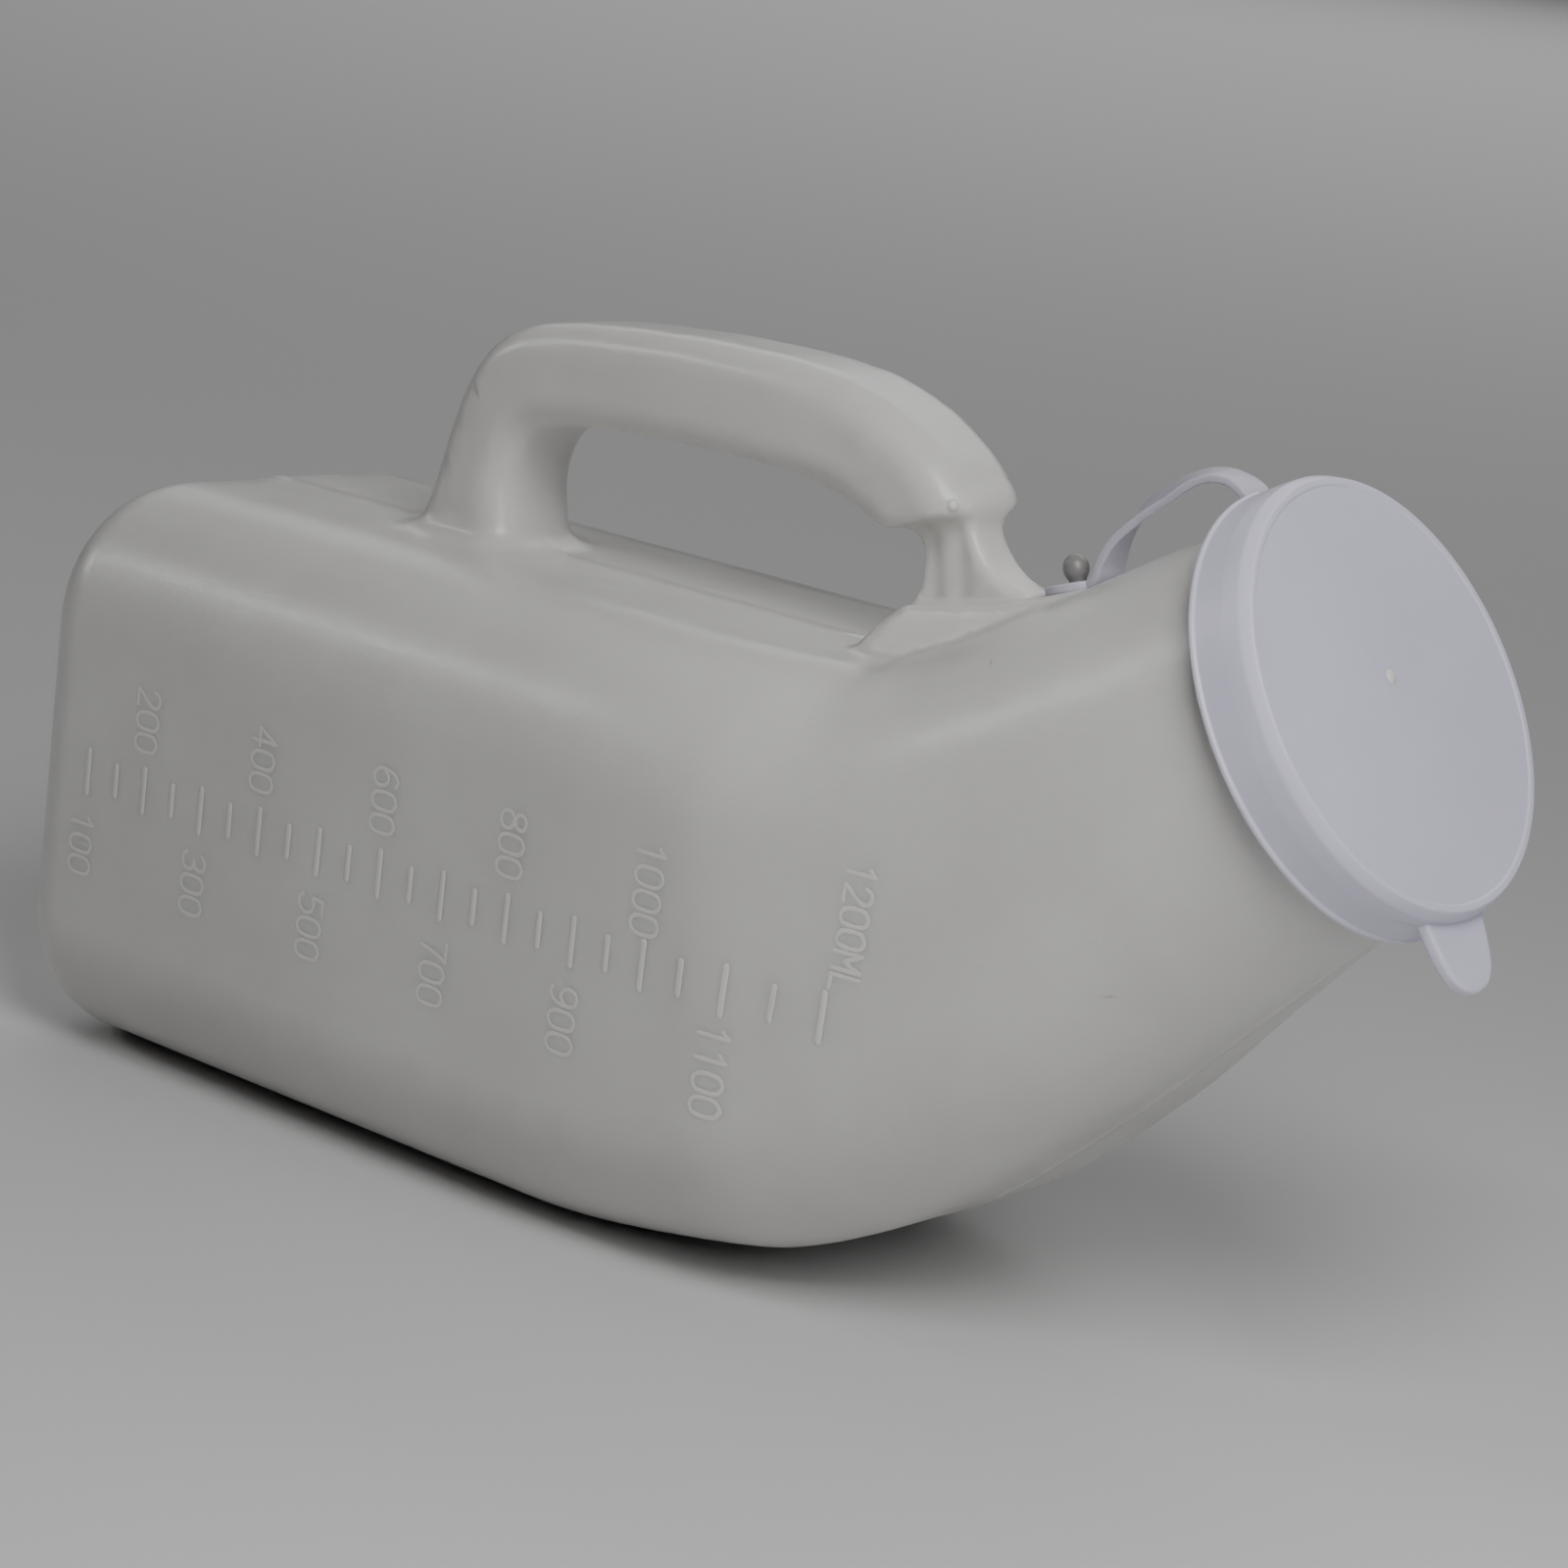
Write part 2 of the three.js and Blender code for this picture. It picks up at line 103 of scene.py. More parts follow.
# ---- distance fields -----------------------------------------------------------------------------
class Grid:
    """A block of cubic cells. A field on it holds the distance in mm to a surface, and it is
    negative inside."""

    def __init__(self, low, high, cell, reach):
        self.cell = cell
        self.reach = reach
        self.first = np.floor(np.array(low) / cell).astype(int)
        self.shape = tuple(np.ceil(np.array(high) / cell).astype(int) - self.first + 1)
        axes = [(self.first[k] + np.arange(self.shape[k])) * cell for k in range(3)]
        self.x, self.y, self.z = np.meshgrid(*axes, indexing="ij", sparse=True)
        self.x, self.y, self.z = (a.astype(np.float32) for a in (self.x, self.y, self.z))

    def _transform(self):
        return openvdb.createLinearTransform(voxelSize=self.cell)

    def distance(self, vertices, faces):
        """The field of a closed mesh, right up to reach on both sides."""
        level = openvdb.FloatGrid.createLevelSetFromPolygons(
            np.ascontiguousarray(vertices, np.float32),
            triangles=np.ascontiguousarray(faces, np.uint32),
            transform=self._transform(), halfWidth=self.reach / self.cell)
        field = np.empty(self.shape, np.float32)
        level.copyToArray(field, ijk=tuple(int(i) for i in self.first))
        return field

    def mesh(self, field, level=0.0, adaptivity=0.0):
        """Vertices, triangles and quads of the surface where the field has that level."""
        block = openvdb.FloatGrid(self.reach)
        block.copyFromArray(np.ascontiguousarray(field), ijk=tuple(int(i) for i in self.first))
        block.transform = self._transform()
        return block.convertToPolygons(isovalue=level, adaptivity=adaptivity)

    def rounded(self, field, radius):
        """The field with every outward edge rounded."""
        vertices, triangles, quads = self.mesh(field, level=-radius)
        halves = np.concatenate((quads[:, (0, 1, 2)], quads[:, (0, 2, 3)]))
        halves = np.concatenate((triangles, halves)) if len(triangles) else halves
        return self.distance(vertices, halves[:, ::-1]) - radius

    def normals(self, field, vertices):
        """Unit gradients of the field at those points."""
        at = vertices / self.cell - self.first
        result = np.zeros(vertices.shape)
        for axis in range(3):
            for side in (-1, 1):
                p = at.copy()
                p[:, axis] += side
                result[:, axis] += side * self._sample(field, p)
        return result / np.linalg.norm(result, axis=1, keepdims=True)

    def _sample(self, field, p):
        """The field between cells, at points counted in cells from the block's corner."""
        p = np.clip(p, 0, np.array(self.shape) - 1.001)
        i = p.astype(int)
        f = p - i
        total = 0
        for dx in (0, 1):
            for dy in (0, 1):
                for dz in (0, 1):
                    weight = (np.abs(1 - dx - f[:, 0]) * np.abs(1 - dy - f[:, 1])
                              * np.abs(1 - dz - f[:, 2]))
                    total = total + weight * field[i[:, 0] + dx, i[:, 1] + dy, i[:, 2] + dz]
        return total


def joined(a, b, fillet):
    """Both shapes, with a fillet where they meet."""
    near = np.maximum(fillet - np.abs(a - b), 0)
    return np.minimum(a, b) - near * near / (4 * fillet)


def without(a, b, rounding):
    """The first shape less the second."""
    return -joined(-a, b, rounding)


def make_object(name, vertices, faces, normals=None):
    """A mesh object from layout millimetres, smooth, with its own normals if they are given."""
    mesh = bpy.data.meshes.new(name)
    mesh.from_pydata(row(vertices).tolist(), [], faces)
    mesh.validate()
    mesh.polygons.foreach_set("use_smooth", np.ones(len(mesh.polygons), bool))
    if normals is not None:
        mesh.normals_split_custom_set_from_vertices(normals.tolist())
    thing = bpy.data.objects.new(name, mesh)
    bpy.context.collection.objects.link(thing)
    return thing


def field_object(name, grid, field, adaptivity):
    """The field's surface as an object, with normals taken from the field."""
    vertices, triangles, quads = grid.mesh(field, adaptivity=adaptivity)
    faces = triangles.tolist() + quads.tolist()
    return make_object(name, vertices, faces, grid.normals(field, vertices))


# ---- lofts ---------------------------------------------------------------------------------------
def knots_of(stations):
    """Length along the stations' middles."""
    middle = (stations[:, 0:2] + stations[:, 2:4]) / 2
    return np.concatenate(([0], np.cumsum(np.linalg.norm(np.diff(middle, axis=0), axis=1))))


def monotone(knots, values, t):
    """Monotone cubic through the values (one row per knot) at the places t."""
    step = np.diff(knots)[:, None]
    slope = np.diff(values, axis=0) / step
    a, b = slope[:-1], slope[1:]
    inner = np.where(a * b > 0, 2 * a * b / np.where(a + b == 0, 1, a + b), 0)
    tangent = np.concatenate((slope[:1], inner, slope[-1:]))
    i = np.clip(np.searchsorted(knots, t) - 1, 0, len(knots) - 2)
    s = ((t - knots[i]) / np.diff(knots)[i])[:, None]
    return (values[i] * (1 + 2 * s) * (1 - s) ** 2 + values[i + 1] * s * s * (3 - 2 * s)
            + step[i] * (tangent[i] * s * (1 - s) ** 2 - tangent[i + 1] * s * s * (1 - s)))


LEAST_RADIUS = 0.5


def rings_of(stations, inset, count):
    """Rounded rectangles, one for each station, all shrunk by inset.

    A station is a row: top x and z, bottom x and z, half width, and the corners' radius as a
    share of the smaller half side.
    """
    top = np.stack((stations[:, 0], stations[:, 0] * 0, stations[:, 1]), 1)
    bottom = np.stack((stations[:, 2], stations[:, 2] * 0, stations[:, 3]), 1)
    half_height = np.linalg.norm(top - bottom, axis=1)[:, None] / 2
    rise = (top - bottom) / (2 * half_height)
    across = stations[:, 4:5]
    radius = np.maximum(stations[:, 5:6] * np.minimum(across, half_height) - inset, LEAST_RADIUS)
    quarter = np.repeat(np.arange(4), count // 4)
    angle = (quarter + np.tile(np.linspace(0, 1, count // 4), 4)) * math.pi / 2
    sign_y = np.where((quarter == 0) | (quarter == 3), 1, -1)
    sign_z = np.where(quarter < 2, 1, -1)
    y = sign_y * (across - inset - radius) + radius * np.cos(angle)
    z = sign_z * (half_height - inset - radius) + radius * np.sin(angle)
    rings = ((top + bottom) / 2)[:, None, :] + rise[:, None, :] * z[:, :, None]
    rings[:, :, 1] += y
    return rings


def side_triangles(rings, count):
    """Triangles between rings of count vertices, each ring joined to the next."""
    r, i = np.meshgrid(np.arange(rings - 1) * count, np.arange(count), indexing="ij")
    j = (i + 1) % count
    a, b, c, d = (v.ravel() for v in (r + i, r + j, r + j + count, r + i + count))
    return np.concatenate((np.stack((a, b, c), 1), np.stack((a, c, d), 1)))


def skin_of(rings):
    """Vertices and triangles of a closed skin through the rings."""
    count = rings.shape[1]
    sides = side_triangles(len(rings), count)
    fan = np.arange(1, count - 1)
    first = np.stack((fan * 0, fan + 1, fan), 1)
    last = (len(rings) - 1) * count + np.stack((fan * 0, fan, fan + 1), 1)
    return rings.reshape(-1, 3), np.concatenate((sides, first, last))


def loft(stations, count, steps):
    """Rings of count points at evenly spaced places along the stations."""
    knots = knots_of(stations)
    return rings_of(monotone(knots, stations, np.linspace(0, knots[-1], steps)), 0.0, count)


def prism_of(sections):
    """Vertices and triangles of a solid between outlines in XZ, a list of (y, outline)."""
    count = len(sections[0][1])
    vertices = np.concatenate([
        np.stack((np.array(outline)[:, 0], np.full(count, y), np.array(outline)[:, 1]), 1)
        for y, outline in sections])
    sides = side_triangles(len(sections), count)
    cap = np.array(tessellate_polygon([[Vector((x, z, 0)) for x, z in sections[0][1]]]))
    last = (len(sections) - 1) * count
    return vertices, np.concatenate((sides, cap, cap[:, ::-1] + last))


SPLINE_DENSITY = 24


def spline(points, count):
    """A Catmull-Rom curve through the points, with count points evenly along it."""
    p = np.asarray(points, float)
    p = np.concatenate((2 * p[:1] - p[1:2], p, 2 * p[-1:] - p[-2:-1]))
    t = np.linspace(0, 1, SPLINE_DENSITY, endpoint=False)[:, None]
    dense = []
    for a, b, c, d in zip(p, p[1:], p[2:], p[3:]):
        dense.append(0.5 * (2 * b + (c - a) * t + (2 * a - 5 * b + 4 * c - d) * t ** 2
                            + (3 * b - a - 3 * c + d) * t ** 3))
    dense = np.concatenate(dense + [p[-2:-1]])
    along = np.concatenate(([0], np.cumsum(np.linalg.norm(np.diff(dense, axis=0), axis=1))))
    even = np.linspace(0, along[-1], count)
    return np.stack([np.interp(even, along, dense[:, k]) for k in range(dense.shape[1])], 1)


# ---- the bottle's shape --------------------------------------------------------------------------
# On the neck, depth is measured back from the middle of the lid's face and height from the axis.
NECK_TILT = math.radians(31.5)
LID_FACE = np.array((230.0, 0, 106.0))
NECK_AXIS = np.array((math.cos(NECK_TILT), 0, math.sin(NECK_TILT)))
NECK_UP = np.array((-math.sin(NECK_TILT), 0, math.cos(NECK_TILT)))
WALL = 1.6
RIM_DEPTH = 3.6
RIM_ROUNDING = 0.9
CREASE = 0.6
# The bead that the lid grips is a ring about the neck's axis, a little longer than it is high.
BEAD_DEPTH, BEAD_RING, BEAD_HALF, BEAD_RADIUS = 5.5, 30, 0.6, 0.7


def on_neck(depth, height, side=0.0):
    return LID_FACE - NECK_AXIS * depth + NECK_UP * height + np.array((0, side, 0))


def neck_station(depth, top, bottom, half_width, corner):
    high, low = on_neck(depth, top), on_neck(depth, -bottom)
    return [high[0], high[2], low[0], low[2], half_width, corner]


# From the flat end along the straight body, round the bend and up the neck.
BODY = np.array([
    [12, 94, 12, 0, 44, 0.52],
    [68, 94, 62, 0, 44, 0.52],
    [122, 94, 112, 0, 44, 0.52],
    [139, 94, 152, 5.2, 43.2, 0.55],
    [151, 94.2, 170, 12.6, 40.2, 0.6],
    neck_station(64, 29.4, 43.2, 36.4, 0.7),
    neck_station(36, 29.6, 36.2, 32.4, 0.9),
    neck_station(14, 30.1, 30.9, 30.3, 1),
    neck_station(8, 30.1, 30.1, 30.1, 1),
    neck_station(-4, 30.1, 30.1, 30.1, 1),
])
END_RADIUS = 12
END_RINGS = 16
BODY_RINGS = 160
BODY_RING_POINTS = 192


def body_skin():
    """The body and neck: the flat end's rounded edge, then the loft."""
    rings = []
    for i in range(END_RINGS):
        angle = i / END_RINGS * math.pi / 2
        station = BODY[:1].copy()
        station[0, 0] = station[0, 2] = END_RADIUS * (1 - math.cos(angle))
        rings.append(rings_of(station, END_RADIUS * (1 - math.sin(angle)), BODY_RING_POINTS))
    rings.append(loft(BODY, BODY_RING_POINTS, BODY_RINGS))
    return skin_of(np.concatenate(rings))


# From the rear leg's foot up, along the grip, and down to its blunt front end.
GRIP = np.array([
    [45.4, 85, 75, 85, 10.3, 0.5],
    [47.8, 91, 72.4, 91, 10.2, 0.5],
    [51.6, 99, 69.6, 98.5, 10, 0.6],
    [55, 111, 68.4, 105, 10, 0.7],
    [58.8, 121.2, 70, 110.5, 10.1, 0.7],
    [64.2, 127.4, 73.4, 113.8, 10.2, 0.66],
    [72, 130.6, 79, 115.5, 10.4, 0.6],
    [83, 132.4, 86, 116.3, 10.4, 0.6],
    [95, 133.4, 96, 117, 10.4, 0.6],
    [107, 134, 107, 117.3, 10.4, 0.6],
    [119, 134.1, 117, 117.2, 10.4, 0.6],
    [131, 133.4, 126, 116.9, 10.4, 0.62],
    [142.4, 130.6, 133.5, 115.7, 10.4, 0.66],
    [152.6, 125.2, 139, 113.9, 10.3, 0.7],
    [156.9, 121.2, 141.8, 112.7, 10.1, 0.7],
    [159.0, 118.6, 143.0, 112.2, 9.7, 0.7],
    [159.0, 117.3, 143.6, 112.0, 9.2, 0.7],
])
GRIP_RINGS = 110
GRIP_RING_POINTS = 96
GRIP_WALL = 1.8
GRIP_ROUNDING = 1.4
GRIP_FILLET = 4.0
HOLLOW_FILLET = 3.0
# Half widths of the plinth's flat top, of the shoulder at its edge and of the hem below it.
RIDGE_HALF = 3
PLINTH_HALF = 7.8
PLINTH_HEM = 11.3
PLINTH_ROUNDING = 0.3
PLINTH_FILLET = 1.2
POST_HALF = 4.3
POST_ROUNDING = 1.1
POST_FILLET = 1.1
# The flutes lean with the post, cut FLUTE_BITE into its sides, and cross FLUTE_HEIGHT at these x.
FLUTE_RADIUS = 2.8
FLUTE_BITE = 0.5
FLUTE_HEIGHT = 110
FLUTE_PLACES = (151.9, 157.2)
FLUTE_LEAN = np.array((1.7, 0, -8.4)) / math.hypot(1.7, 8.4)
# The parting line is highest in the middle plane, and fades out at this depth below the lid.
SEAM_HEIGHT = 0.32
SEAM_HALF = 1.1
SEAM_END = 11
SEAM_FADE = 4


def plinth_field(grid):
    """The block under the post, with its long facets to both sides."""
    ridge = [(139, 88), (142.8, 94.8), (147.2, 100), (150.2, 102.4), (166.6, 105.8),
             (180.8, 111.0), (180.8, 104), (176, 92)]
    shoulder = [(x, z - d) for (x, z), d in zip(ridge, (0, 0.3, 0.5, 0.5, 0.5, 0.5, 0, 0))]
    hem = [(x, z - d) for (x, z), d in zip(ridge, (0, 3, 6.4, 8.4, 8.4, 8, 0, 0))]
    block = grid.distance(*prism_of([
        (-PLINTH_HEM, hem), (-PLINTH_HALF, shoulder), (-RIDGE_HALF, ridge),
        (RIDGE_HALF, ridge), (PLINTH_HALF, shoulder), (PLINTH_HEM, hem)]))
    return grid.rounded(block, PLINTH_ROUNDING)


def post_field(grid):
    """The pinched front post, with two flutes down each side."""
    rear = spline([(147.2, 115.5), (148.9, 112), (149.9, 109), (150.1, 106), (149.4, 103.6),
                   (147.8, 101.4)], 16)
    front = spline([(170, 107.4), (166.2, 108), (163, 109.6), (160.4, 112), (158.2, 115),
                    (156, 118.5)], 16)
    outline = np.concatenate((rear, [(150, 99), (168, 102)], front))
    post = grid.distance(*prism_of([(-POST_HALF, outline), (POST_HALF, outline)]))
    post = grid.rounded(post, POST_ROUNDING)
    for x in FLUTE_PLACES:
        off = (grid.x - x) * FLUTE_LEAN[2] - (grid.z - FLUTE_HEIGHT) * FLUTE_LEAN[0]
        deep = np.abs(grid.y) - POST_HALF - FLUTE_RADIUS + FLUTE_BITE
        flute = np.sqrt(off ** 2 + deep ** 2) - FLUTE_RADIUS
        post = without(post, flute, CREASE)
    return post


def bottle_field(grid):
    """The whole blow moulding, hollow, and open at the rim."""
    body = grid.distance(*body_skin())
    depth = -((grid.x - LID_FACE[0]) * NECK_AXIS[0] + (grid.z - LID_FACE[2]) * NECK_AXIS[2])
    height = (grid.x - LID_FACE[0]) * NECK_UP[0] + (grid.z - LID_FACE[2]) * NECK_UP[2]
    radial = np.sqrt(height ** 2 + grid.y ** 2)

    fade = np.clip((depth - SEAM_END) / SEAM_FADE, 0, 1)
    seam = fade * SEAM_HEIGHT * np.clip(1 - np.abs(grid.y) / SEAM_HALF, 0, 1)
    outside = joined(body - seam, plinth_field(grid), PLINTH_FILLET)
    outside = joined(outside, post_field(grid), POST_FILLET)

    grip = grid.distance(*skin_of(loft(GRIP, GRIP_RING_POINTS, GRIP_RINGS)))
    grip = grid.rounded(grip, GRIP_ROUNDING)
    outside = joined(outside, grip, GRIP_FILLET)

    # Bead for the lid, the cut rim, and the hollow, which runs from the body into the grip.
    along = np.maximum(np.abs(depth - BEAD_DEPTH) - BEAD_HALF, 0)
    ring = np.sqrt((radial - BEAD_RING) ** 2 + along ** 2) - BEAD_RADIUS
    outside = joined(outside, ring, CREASE)
    outside = -joined(-outside, depth - RIM_DEPTH, RIM_ROUNDING)
    cavity = joined(body + WALL, grip + GRIP_WALL, HOLLOW_FILLET)
    return without(outside, cavity, CREASE)


BOTTLE_GRID = Grid((-3, -47, -3), (250, 47, 137), cell=0.55, reach=5.5)
bottle = field_object("bottle", BOTTLE_GRID, bottle_field(BOTTLE_GRID), adaptivity=0.06)


# ---- lid -----------------------------------------------------------------------------------------
def filleted(corners, steps=6):
    """An open outline through (x, y, fillet) corners."""
    points = []
    p = np.array(corners, float)
    for i, (x, y, radius) in enumerate(p):
        at = np.array((x, y))
        if radius == 0 or i in (0, len(p) - 1):
            points.append(at)
            continue
        before, after = p[i - 1, :2] - at, p[i + 1, :2] - at
        a, b = before / np.linalg.norm(before), after / np.linalg.norm(after)
        half = math.acos(np.clip(a @ b, -1, 1)) / 2
        reach = radius / math.tan(half)
        reach = min(reach, 0.49 * np.linalg.norm(before), 0.49 * np.linalg.norm(after))
        for t in np.linspace(0, 1, steps):
            points.append(at + a * reach * (1 - t) ** 2 + b * reach * t ** 2)
    return np.array(points)


def lathe_on_neck(name, profile, segments):
    """The outline of (depth, radius) points, from the axis back to the axis, turned about the
    neck."""
    angle = np.linspace(0, 2 * math.pi, segments, endpoint=False)
    inner = profile[1:-1]
    depth, radius = inner[:, 0][:, None], inner[:, 1][:, None]
    ring = (LID_FACE - NECK_AXIS * depth[:, :, None]
            + NECK_UP * (radius * np.cos(angle))[:, :, None]
            + np.array((0, 1, 0)) * (radius * np.sin(angle))[:, :, None])
    vertices = np.concatenate((ring.reshape(-1, 3), [on_neck(profile[0, 0], 0)],
                               [on_neck(profile[-1, 0], 0)]))
    n, last = segments, (len(inner) - 1) * segments
    faces = []
    for r in range(len(inner) - 1):
        for i in range(n):
            j = (i + 1) % n
            faces.append((r * n + i, r * n + j, (r + 1) * n + j, (r + 1) * n + i))
    for i in range(n):
        j = (i + 1) % n
        faces.append((len(vertices) - 2, j, i))
        faces.append((last + i, last + j, len(vertices) - 1))
    return make_object(name, vertices, faces)


# Depth, radius and fillet of the lid's outline: face, rim, skirt, lip, and back inside over the
# raised sealing ring.
LID_PROFILE = [
    (-0.5, 0, 0), (-0.52, 12, 0), (-0.6, 26, 0), (-0.62, 30.1, 0.12), (-0.86, 30.42, 0.12),
    (-0.9, 31.3, 0.35), (0.7, 32.25, 1.6), (3.4, 32.5, 2.0), (7.75, 32.6, 0.3), (8.1, 32.98, 0.2),
    (8.7, 33.0, 0.3), (8.7, 31.3, 0.3), (4.2, 31.25, 0.5), (2.9, 30.6, 0.6), (2.1, 29.9, 0.2),
    (3.3, 29.5, 0.25), (3.3, 28.5, 0.25), (2.1, 28.1, 0.3), (2.1, 24, 0), (2.1, 0, 0)]


def smooth_by_angle(thing, degrees):
    """Smooth shading that keeps edges sharper than this."""
    thing.data.set_sharp_from_angle(angle=math.radians(degrees))
    return thing


lid = smooth_by_angle(lathe_on_neck("lid", filleted(LID_PROFILE), segments=224), 50)


def off_lid(vertices):
    """From the lid's own axes (outward, sideways and up from its face) to the layout."""
    return (LID_FACE + vertices[:, 0:1] * NECK_AXIS + vertices[:, 1:2] * (0, 1, 0)
            + vertices[:, 2:3] * NECK_UP)


def box_2d(a, b, low, high):
    """Distance to a rectangle in two coordinates."""
    da = np.abs(a - (low[0] + high[0]) / 2) - (high[0] - low[0]) / 2
    db = np.abs(b - (low[1] + high[1]) / 2) - (high[1] - low[1]) / 2
    outer = np.sqrt(np.maximum(da, 0) ** 2 + np.maximum(db, 0) ** 2)
    return outer + np.minimum(np.maximum(da, db), 0)


# The tab's piece ends in a copy of the lid's edge, this far inside the lid's own surface.
SHY = 0.03


def lid_edge(grid):
    """The lid's skirt and lip, a hair inside their real surface."""
    radial = np.sqrt(grid.y ** 2 + grid.z ** 2)
    skirt = np.minimum(box_2d(radial, -grid.x, (31.5, 2.7), (32.5 - SHY, 8.65)),
                       box_2d(radial, -grid.x, (31, 0.5), (32.1, 8)))
    lip = box_2d(radial, -grid.x, (31.5, 8.05 + SHY), (32.97 - SHY, 8.7 - SHY))
    return np.minimum(skirt, lip)


def lid_object(name, grid, field):
    """The surface of a field in the lid's own axes, as an object."""
    vertices, triangles, quads = grid.mesh(field)
    faces = triangles.tolist() + quads.tolist()
    normals = off_lid(grid.normals(field, vertices)) - LID_FACE
    return make_object(name, off_lid(vertices), faces, normals)


TAB_BACK, TAB_FRONT = -3.7, -1.7
TAB_ROUNDING = 0.45
TAB_FILLET = 0.9
DISH_SHIFT = 1.75
DISH_BORDER = 1.45
DISH_CREASE = 0.35


def make_tab():
    """The thumb tab: a rounded plate with a shallow dish in its front, joined to the lip."""
    grid = Grid((-11, -13, -46), (2, 13, -27), cell=0.2, reach=2.4)
    half = spline([(-31.4, 7.6), (-33.5, 7.0), (-36, 6.55), (-38.5, 5.75), (-40.4, 4.5),
                   (-41.7, 2.7), (-42.3, 0.0)], 30)
    outline = np.concatenate(((half * (1, -1))[:, ::-1], half[::-1][1:, ::-1]))
    # prism_of works on XZ outlines spread along Y, so its axes are turned afterwards.
    vertices, faces = prism_of([(TAB_BACK, outline), (TAB_FRONT, outline)])
    turned_over = np.stack((vertices[:, 1], vertices[:, 0], vertices[:, 2]), 1)
    plate = grid.rounded(grid.distance(turned_over, faces[:, ::-1]), TAB_ROUNDING)
    dish = grid.distance(turned_over + (DISH_SHIFT, 0, 0), faces[:, ::-1]) + DISH_BORDER
    plate = without(plate, dish, DISH_CREASE)
    return lid_object("pull_tab", grid, joined(plate, lid_edge(grid), TAB_FILLET))


tab = make_tab()


RIBBON_EDGE = 0.35


def ribbon_object(name, route, width, thickness, steps):
    """A flat strap with rounded edges. Its route down the middle is a list of x, z, width factor
    and twist in degrees."""
    middle = spline(route, steps)
    along = np.gradient(middle[:, :2], axis=0)
    along /= np.linalg.norm(along, axis=1, keepdims=True)
    corner = np.linspace(0, math.pi / 2, 5)
    section = []
    for sy, sz, turn in ((1, 1, 0), (-1, 1, 1), (-1, -1, 2), (1, -1, 3)):
        for angle in corner + turn * math.pi / 2:
            section.append((sy, sz, RIBBON_EDGE * math.cos(angle), RIBBON_EDGE * math.sin(angle)))
    rings = []
    for (x, z, factor, twist), (tx, tz) in zip(middle, along):
        upward = np.array((-tz, 0, tx))
        lean = math.radians(twist)
        wide = np.array((0, math.cos(lean), 0)) - upward * math.sin(lean)
        thick = np.cross((tx, 0, tz), wide)
        for sy, sz, ey, ez in section:
            rings.append(np.array((x, 0, z))
                         + wide * (sy * (factor * width / 2 - RIBBON_EDGE) + ey)
                         + thick * (sz * (thickness / 2 - RIBBON_EDGE) + ez))
    vertices, faces = skin_of(np.array(rings).reshape(steps, len(section), 3))
    return make_object(name, vertices, faces[:, ::-1].tolist())


# Up from the eyelet beside the stud, over, and down to the joint's axis and the lid's lip.
HINGE = on_neck(10.4, 32.3)
STRAP_ROUTE = [
    (177.6, 110.3, 0.9, 0), (179.4, 110.95, 1.0, 0), (180.5, 112.2, 1.04, 0),
    (180.8, 114.4, 1.04, -3), (182.1, 118.2, 1.0, -12), (185.2, 122.6, 0.97, -26),
    (189.5, 126.2, 0.97, -27), (193.3, 128.8, 1, -17), (196.8, 130.1, 1, -7),
    (200.0, 130.1, 1, 0), (202.2, 129.4, 1, 0), (HINGE[0], HINGE[2], 1, 0),
    (205.5, 128.5, 1.02, 0), (206.6, 129.3, 1.05, 0)]
strap = ribbon_object("strap", STRAP_ROUTE, width=6.6, thickness=1.3, steps=110)
smooth_by_angle(strap, 60)


# ---- stud and eyelet -----------------------------------------------------------------------------
PLINTH_SLOPE = math.radians(19.4)
STUD_FOOT = np.array((176.1, 0, 108.8))


def lathe_on_plinth(name, profile, segments):
    """An outline of (radius, height) points turned about the stud's axis."""
    axis = np.array((-math.sin(PLINTH_SLOPE), 0, math.cos(PLINTH_SLOPE)))
    side = np.array((math.cos(PLINTH_SLOPE), 0, math.sin(PLINTH_SLOPE)))
    angle = np.linspace(0, 2 * math.pi, segments, endpoint=False)[:, None]
    # One turn of unit vectors square to the axis.
    round_about = side * np.cos(angle) + np.array((0, 1, 0)) * np.sin(angle)
    vertices = [STUD_FOOT + axis * h + r * round_about for r, h in profile]
    faces = []
    n = segments
    for k in range(len(profile) - 1):
        for i in range(n):
            j = (i + 1) % n
            faces.append((k * n + i, k * n + j, (k + 1) * n + j, (k + 1) * n + i))
    return make_object(name, np.concatenate(vertices), faces)


STUD_PROFILE = [(0.02, 5.75), (0.55, 5.68), (1.05, 5.43), (1.48, 5.04), (1.8, 4.53), (1.95, 3.9),
                (1.95, 3.4), (1.8, 2.8), (1.55, 2.35), (1.35, 2.0), (1.3, 1.6), (1.3, 0.2),
                (1.6, -0.3), (1.7, -1.2)]
EYELET_PROFILE = [(1.6, 0.5, 0), (1.6, 0.25, 0.2), (4.95, 0.25, 0.3), (4.95, 1.55, 0.35),
                  (1.6, 1.55, 0.3), (1.6, 0.5, 0)]
stud = lathe_on_plinth("tether_stud_ball", spline(STUD_PROFILE, 48), segments=48)
eyelet = smooth_by_angle(lathe_on_plinth("eyelet", filleted(EYELET_PROFILE), segments=56), 60)


# ---- scale ---------------------------------------------------------------------------------------
body_tree = BVHTree.FromPolygons(*[a.tolist() for a in body_skin()])


def on_side(x, z):
    """Point of the bottle's -Y side and its normal."""
    hit, normal, _, _ = body_tree.ray_cast(Vector((x, -70, z)), Vector((0, 1, 0)))
    return np.array(hit), np.array(normal if normal.y < 0 else -normal)


